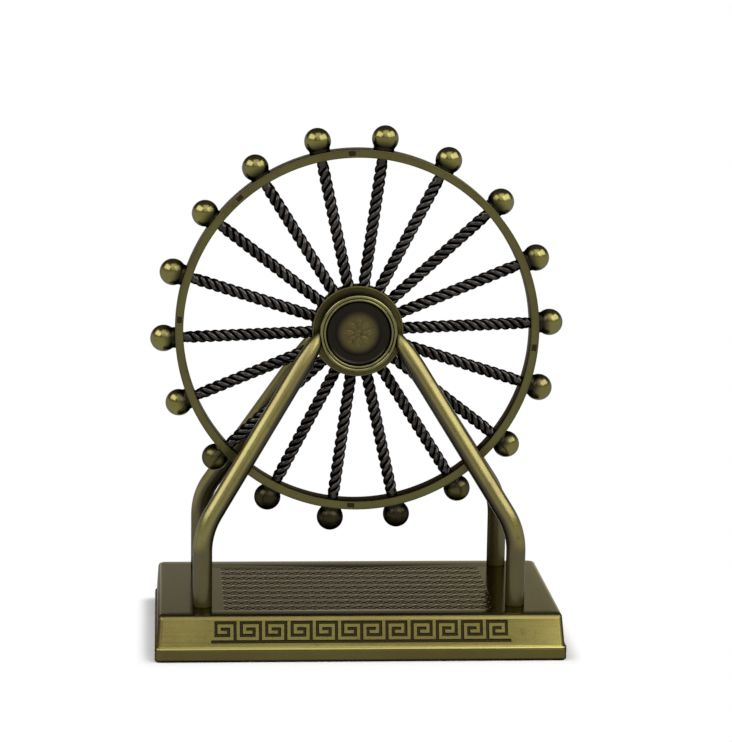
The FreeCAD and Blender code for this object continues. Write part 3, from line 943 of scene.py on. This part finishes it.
def cap_disc(name, side):
    """Softly domed disc in the dish, cast with a low eight-petal rosette that has worn faint."""
    back = DISH_FLOOR + SNUG_GAP
    profile = [(DISC_BORE, back), (DISC_RADIUS, back)]
    for i in range(1, DISC_STEPS):
        share = 1 - i / DISC_STEPS
        dome = DISC_DOME * (1 - share ** 4) * (1 - DISC_SAG * (1 - share ** 2))
        profile.append((DISC_RADIUS * share, back + dome))

    def relief_at(radius, out, angle):
        if radius > ROSETTE_REACH or out <= back:
            return 0.0
        share = radius / ROSETTE_REACH
        boss = 1 - smoothstep(share, *BOSS_FADE)
        ray = abs(math.cos(angle * ROSETTE_PETALS / 2))
        width = PETAL_WIDTH * math.sin(math.pi * smoothstep(share, *PETAL_SPAN) ** PETAL_FULLNESS)
        petal = smoothstep(ray - (1 - width), *PETAL_SIDE) * smoothstep(share, *PETAL_FOOT)
        vein = 1 - VEIN_DEPTH * smoothstep(ray, *VEIN_FADE)
        return ROSETTE_LIFT * max(boss, petal * vein * (1 - smoothstep(share, *PETAL_TIP)))

    def patina_and_shade_at(radius, out, lift):
        # the disc's outer part keeps patina and painted shade, like the dish round it, and its centre
        # stays lighter
        worn = 1 - smoothstep(radius, *DISC_FADE)
        return 1 - worn * mix(DISC_WEAR, 1.0, lift / ROSETTE_LIFT)

    return turned(name, profile, side, 60, patina_and_shade_at, relief_at, even_angles(192))


for word, side in SIDES:
    cup = word + "_cup"
    add_piece(cup, bearing_cup(cup, side), cup_metal, "stand", [word + "_bearing_cup"])
    disc = word + "_disc"
    add_piece(disc, cap_disc(disc, side), disc_metal, "stand", [word + "_cap_disc"])

# ---------------- hub and rim

BEHIND_CUP_SHADE = (0.0002, 0.0012)
BEHIND_CUP_PAINTED_SHADE = 0.8


def hub_plate(name, side):
    """Hub flange with softly broken edges and a fine turned step near its rim."""
    step_start = FLANGE_RADIUS - FLANGE_LIP
    low_face = FLANGE_FACE - FLANGE_STEP
    corners = [(FLANGE_BORE, FLANGE_BACK), (FLANGE_RADIUS, FLANGE_BACK), (FLANGE_RADIUS, FLANGE_FACE),
               (step_start, FLANGE_FACE), (step_start - FLANGE_STEP, low_face), (FLANGE_BORE, low_face)]

    def patina_and_shade_at(radius, out, lift):
        # painted shade on the flange round the foot of the cup
        return BEHIND_CUP_PAINTED_SHADE * (1 - smoothstep(abs(radius - CUP_RADIUS), *BEHIND_CUP_SHADE))

    profile = round_corners(corners, FLANGE_ROUND, 4)
    return turned(name, profile, side, 50, patina_and_shade_at)


for word, side in SIDES:
    plate = word + "_hub_plate"
    add_piece(plate, hub_plate(plate, side), hub_metal, "wheel", [word + "_hub_flange"])

MARKS = [math.radians(angle) for angle in (-2.7, 95.2, 181.6, 273.6, 318.2)]
MARK_HALF_LENGTH = 0.00115
MARK_HALF_HEIGHT = 0.00078
MARK_DEPTH = 0.00014
MARK_WALL = 0.00015
RIM_INSIDE_AGE = 0.42
RIM_OUTSIDE_AGE = 0.35


def rim_ring():
    """Flat rim with broken edges and a few small oblong marks sunk in each face."""
    half = RIM_WIDTH / 2
    middle = (RIM_INNER + RIM_OUTER) / 2

    def levels(half_size):
        floor = half_size - MARK_WALL
        return (-half_size, -floor, floor, half_size)

    face = [(middle + level, half) for level in levels(MARK_HALF_HEIGHT)]
    outer = round_corners([face[-1], (RIM_OUTER, half), (RIM_OUTER, 0)], RIM_BEVEL, 4, closed=False)
    inner = round_corners([(RIM_INNER, 0), (RIM_INNER, half), face[0]], RIM_BEVEL, 4, closed=False)
    profile = inner[1:-1] + face + outer[1:-1]
    profile += [(radius, -out) for radius, out in reversed(profile)]
    angles = even_angles(300)
    angles += [mark + level / middle for mark in MARKS for level in levels(MARK_HALF_LENGTH)]
    angles = sorted(angle % (2 * math.pi) for angle in angles)

    def inside(distance, half_size):
        return 1 - smoothstep(distance, half_size - MARK_WALL, half_size)

    def mark_at(radius, angle):
        turns = [(angle - mark + math.pi) % (2 * math.pi) - math.pi for mark in MARKS]
        along = min(abs(turn) for turn in turns) * middle
        return inside(along, MARK_HALF_LENGTH) * inside(abs(radius - middle), MARK_HALF_HEIGHT)

    def relief_at(radius, out, angle):
        if abs(out) < half - RIM_BEVEL / 2:
            return 0.0
        return -math.copysign(MARK_DEPTH * mark_at(radius, angle), out)

    def patina_and_shade_at(radius, out, lift):
        on_inside = RIM_INSIDE_AGE * (1 - smoothstep(radius, RIM_INNER, RIM_INNER + RIM_BEVEL))
        on_outside = RIM_OUTSIDE_AGE * smoothstep(radius, RIM_OUTER - RIM_BEVEL, RIM_OUTER)
        return max(abs(lift) / MARK_DEPTH, on_inside, on_outside)

    return turned("rim_ring", profile, 1, 40, patina_and_shade_at, relief_at, angles)


add_piece("rim_ring", rim_ring(), rim_metal, "wheel", ["wheel_rim"])

# ---------------- spokes and balls

LOBE_SEGMENTS = 12
STEPS_PER_BEAD = 9
BALL_STEPS = 44
BALL_SEGMENTS = 64
THROAT_ANGLE = 0.12
POLE_ANGLE = 0.02
GROOVE_TO_CREST = 0.7
NECK_PATINA_AND_SHADE_FADE = (0.0010, 0.0040)

# an oval strand's half sizes and the distance of its centre, as shares of the bar's radius
STRAND_HALF_HEIGHT = 0.45
STRAND_CENTRE = 1 - STRAND_HALF_HEIGHT
STRAND_TANGENT = math.sqrt(STRAND_CENTRE ** 2 - STRAND_HALF_HEIGHT ** 2)
STRAND_HALF_WIDTH = math.tan(math.pi / ROPE_STRANDS) * STRAND_TANGENT

# the balls at the bottom of the wheel get black patina and painted shade
SHADED_SIDE_ANGLE = math.radians(186)
SHADED_SIDE = Vector((math.sin(SHADED_SIDE_ANGLE), 0, math.cos(SHADED_SIDE_ANGLE)))
SHADED_SIDE_FADE = (0.42, 0.97)
LOW_BALL_PATINA_AND_SHADE = 0.92


def along_spoke(ball):
    """Matrix from a spoke's own frame, with +Z outwards, to its place on the wheel."""
    outward = middle_of(ball) - HUB
    angle = math.atan2(outward.x, outward.z)
    return Matrix.Translation(HUB) @ Matrix.Rotation(angle, 4, "Y"), math.hypot(outward.x, outward.z)


def strand_outline(from_crest):
    """Radius of a lay of oval strands that just touch, as a share of the bar's radius."""
    toward_crest = math.cos(from_crest) / STRAND_HALF_HEIGHT
    across = toward_crest ** 2 + (math.sin(from_crest) / STRAND_HALF_WIDTH) ** 2
    toward = STRAND_CENTRE * toward_crest / STRAND_HALF_HEIGHT
    beyond = (STRAND_CENTRE / STRAND_HALF_HEIGHT) ** 2 - 1
    return (toward + math.sqrt(max(toward ** 2 - across * beyond, 0.0))) / across


def rope_spoke(name, ball):
    """Bar of three twisted strands with its plain shank and collar, and the tenon in the ball."""
    place, ball_ring = along_spoke(ball)
    twist_start = FLANGE_RADIUS - ROPE_RADIUS
    twist_end = RIM_INNER - COLLAR_LENGTH
    twist_middle = (twist_start + twist_end) / 2
    collar_end = RIM_INNER + COLLAR_IN_RIM
    lead = ROPE_BEAD_PITCH * ROPE_STRANDS
    sector = 2 * math.pi / ROPE_STRANDS
    groove = strand_outline(sector / 2)
    bright = mix(groove, 1.0, GROOVE_TO_CREST)
    steps = round((twist_end - twist_start) / ROPE_BEAD_PITCH * STEPS_PER_BEAD)
    heights = [SHANK_START, twist_start - TWIST_FADE]
    heights += [mix(twist_start, twist_end, i / steps) for i in range(steps + 1)]
    heights += [twist_end + TWIST_FADE / 2, twist_end + TWIST_FADE, collar_end]
    tenon = [collar_end, ball_ring - BALL_RADIUS + TENON_IN_BALL]
    rings = []
    for i, height in enumerate(heights + tenon):
        inner = smoothstep(height, twist_start - TWIST_FADE, twist_start + TWIST_FADE)
        outer = 1 - smoothstep(height, twist_end - TWIST_FADE, twist_end + TWIST_FADE)
        twisted = min(inner, outer)
        plain = SHANK_RADIUS if height < twist_middle else COLLAR_RADIUS
        if i >= len(heights):
            plain, twisted = TENON_RADIUS, 0.0
        ring = []
        for j in range(LOBE_SEGMENTS * ROPE_STRANDS):
            lobe, step = divmod(j, LOBE_SEGMENTS)
            # points crowd towards the grooves, where the outline turns sharply
            from_crest = sector / 2 * math.sin(math.pi * (step / LOBE_SEGMENTS - 0.5))
            outline = strand_outline(from_crest)
            radius = mix(plain, ROPE_RADIUS * outline, twisted)
            turn = sector * lobe + from_crest + 2 * math.pi * (height - twist_start) / lead
            point = place @ Vector((radius * math.cos(turn), radius * math.sin(turn), height))
            ring.append((point, twisted * (1 - smoothstep(outline, groove, bright)), point))
        rings.append(ring)
    return skin(name, rings, sharp_angle=70)


def ball_point(angle):
    """Point (radius, height) of a ball's outline, at this angle from the pole at its neck."""
    return BALL_RADIUS * math.sin(angle), -BALL_RADIUS * math.cos(angle)


def cabin_ball(name, ball):
    """Polished ball on a low black neck, whose foot follows the curve of the rim."""
    place, ball_ring = along_spoke(ball)
    hole = TENON_RADIUS + SNUG_GAP
    neck_angle = math.asin(BALL_NECK_RADIUS / BALL_RADIUS)
    start_angle = neck_angle + THROAT_ANGLE
    joint_height = ball_point(neck_angle)[1]
    foot_height = RIM_OUTER - NECK_SUNK - ball_ring
    neck_foot = [(hole, foot_height), (BALL_NECK_RADIUS, foot_height), (BALL_NECK_RADIUS, joint_height)]
    profile = [(hole, joint_height), (hole, foot_height)]
    profile += round_corners(neck_foot, NECK_FOOT_ROUND, 3, closed=False)[1:-1]
    throat = [profile[-1], (BALL_NECK_RADIUS, joint_height), ball_point(start_angle)]
    profile += round_corners(throat, THROAT_ROUND, FINE_ARC_STEPS, closed=False)[1:]
    for i in range(1, BALL_STEPS + 1):
        profile.append(ball_point(mix(start_angle, math.pi - POLE_ANGLE, i / BALL_STEPS)))
    closeness = (middle_of(ball) - HUB).normalized().dot(SHADED_SIDE)
    low_ball_patina_and_shade = LOW_BALL_PATINA_AND_SHADE * smoothstep(closeness, *SHADED_SIDE_FADE)
    rings = []
    for radius, height in profile:
        near_foot = 1 - smoothstep(height - foot_height, 0.0, joint_height - foot_height)
        # patina at the neck and painted shade over the lower part of the ball
        neck_patina_and_shade = 1 - smoothstep(ball_ring + height - RIM_OUTER, *NECK_PATINA_AND_SHADE_FADE)
        patina_and_shade = max(neck_patina_and_shade, low_ball_patina_and_shade)
        ring = []
        for turn in even_angles(BALL_SEGMENTS):
            point = Vector((radius * math.cos(turn), radius * math.sin(turn), ball_ring + height))
            saddle = math.sqrt(RIM_OUTER ** 2 - point.x ** 2) - RIM_OUTER
            point.z += saddle * near_foot
            point = place @ point
            ring.append((point, patina_and_shade, point))
        rings.append(ring)
    return skin(name, rings, sharp_angle=60)


for spoke, ball in zip(SPOKES, BALLS):
    rope = "rope_" + spoke
    add_piece(rope, rope_spoke(rope, ball), spoke_metal, "wheel", [spoke])
    sphere = "polished_" + ball
    add_piece(sphere, cabin_ball(sphere, ball), ball_metal, "wheel", [ball])

# ---------------- nodes kept from the CAD model

KEPT = {"hub_drum": hub_metal, "hub_bush": brass, "thrust_washers": brass,
        "axle_bolt": steel, "axle_nut": steel, "foot_screws": steel}
for name, material in KEPT.items():
    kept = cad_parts[name]
    kept.data.materials.clear()
    kept.data.materials.append(material)

# ---------------- floor, world and lamps

FLOOR_HALF = 30.0
SHADOW_NEAR = 0.001
SHADOW_FAR = 0.006
WHITE = grey(1.0)
PAPER = grey(0.72)
STUDIO_GREY = grey(0.12)
FAINT_FILL = grey(0.06)
WHITE_BAND_FADE = (0.08, 0.4)


def floor_material():
    """White to the eye, in mirrors and through glass, and paper with a shadow by the base."""
    graph = material_graph("pale_floor")
    flat = graph.vector("MULTIPLY", graph.place(), (1, 1, 0))
    beyond = graph.vector("SUBTRACT", graph.vector("ABSOLUTE", flat), (base_high.x, base_high.y, 0))
    distance = graph.length(graph.vector("MAXIMUM", beyond, (0, 0, 0)))
    ray = graph.add("LightPath").outputs
    seen = graph.highest(ray["Is Camera Ray"], ray["Is Glossy Ray"])
    seen = graph.highest(seen, ray["Is Transmission Ray"])
    white_share = graph.times(graph.ramp(distance, SHADOW_NEAR, SHADOW_FAR), seen)
    white = graph.add("Emission", Color=WHITE, Strength=1.0)
    paper = graph.add("BsdfDiffuse", Color=PAPER)
    graph.show(graph.add("MixShader", _0=white_share, _1=paper.outputs[0], _2=white.outputs[0]))
    return graph.owner


def make_floor():
    mesh = bpy.data.meshes.new("floor")
    signs = ((-1, -1), (1, -1), (1, 1), (-1, 1))
    corners = [(x * FLOOR_HALF, y * FLOOR_HALF, 0) for x, y in signs]
    mesh.from_pydata(corners, [], [(0, 1, 2, 3)])
    floor = bpy.data.objects.new("floor", mesh)
    bpy.context.scene.collection.objects.link(floor)
    mesh.materials.append(floor_material())


def make_world():
    """White to the camera. Mirrors see a grey studio over a white band, and matt faces a faint fill."""
    world = bpy.data.worlds.new("studio")
    bpy.context.scene.world = world
    graph = Graph(world, "ShaderNodeOutputWorld")
    height = graph.split(graph.add("TexCoord").outputs["Generated"])[2]
    studio = graph.blend(graph.ramp(height, *WHITE_BAND_FADE), WHITE, STUDIO_GREY)
    ray = graph.add("LightPath").outputs
    lit = graph.blend(ray["Is Glossy Ray"], FAINT_FILL, studio)
    clear = graph.highest(ray["Is Camera Ray"], ray["Is Transmission Ray"])
    graph.show(graph.add("Background", Color=graph.blend(clear, lit, WHITE)))


AIM = Vector((0, 0, 0.07))


def looking(turn, rise):
    """Matrix that aims a lamp or camera along +Y, turned to its left and tilted upwards."""
    return Matrix.Rotation(turn, 4, "Z") @ Matrix.Rotation(math.pi / 2 + rise, 4, "X")


def softbox(name, azimuth, elevation, distance, width, height, power):
    """Area lamp aimed at the object. Azimuth 0 is in front of it, 90 to its right."""
    light = bpy.data.lights.new(name, "AREA")
    light.shape = "RECTANGLE"
    light.size, light.size_y = width, height
    light.energy = power
    lamp = bpy.data.objects.new(name, light)
    bpy.context.scene.collection.objects.link(lamp)
    aimed = looking(math.radians(azimuth), -math.radians(elevation))
    lamp.matrix_world = Matrix.Translation(AIM) @ aimed @ Matrix.Translation((0, 0, distance))


make_floor()
make_world()
softbox("left_softbox", azimuth=-67, elevation=42, distance=0.8, width=0.80, height=0.46, power=5.1)
softbox("right_softbox", azimuth=61, elevation=41, distance=0.8, width=0.94, height=0.50, power=6.1)
softbox("front_fill", azimuth=8, elevation=41, distance=1.3, width=1.0, height=0.8, power=3.8)
softbox("top_fill", azimuth=8, elevation=68, distance=1.0, width=0.7, height=0.5, power=2.4)

# ---------------- camera

CAMERA_PLACE = Vector((-0.0587, -0.79835, 0.2297))
CAMERA_YAW = math.radians(4.167)
CAMERA_PITCH = math.radians(10.329)
CAMERA_ROLL = math.radians(0.841)
FRAME_WIDTH, FRAME_HEIGHT = 732, 742
FOCAL_PIXELS = 2740.2
CENTRE_X, CENTRE_Y = 356.05, 357.11
SENSOR = 36.0


def make_camera():
    data = bpy.data.cameras.new("camera")
    data.sensor_width = SENSOR
    data.lens = SENSOR * FOCAL_PIXELS / FRAME_HEIGHT
    data.shift_x = (FRAME_WIDTH / 2 - CENTRE_X) / FRAME_HEIGHT
    data.shift_y = (CENTRE_Y - FRAME_HEIGHT / 2) / FRAME_HEIGHT
    data.clip_start, data.clip_end = 0.05, 100
    camera = bpy.data.objects.new("camera", data)
    bpy.context.scene.collection.objects.link(camera)
    aimed = looking(-CAMERA_YAW, -CAMERA_PITCH) @ Matrix.Rotation(CAMERA_ROLL, 4, "Z")
    camera.matrix_world = Matrix.Translation(CAMERA_PLACE) @ aimed
    bpy.context.scene.camera = camera


make_camera()
bpy.context.scene.view_settings.view_transform = "Standard"
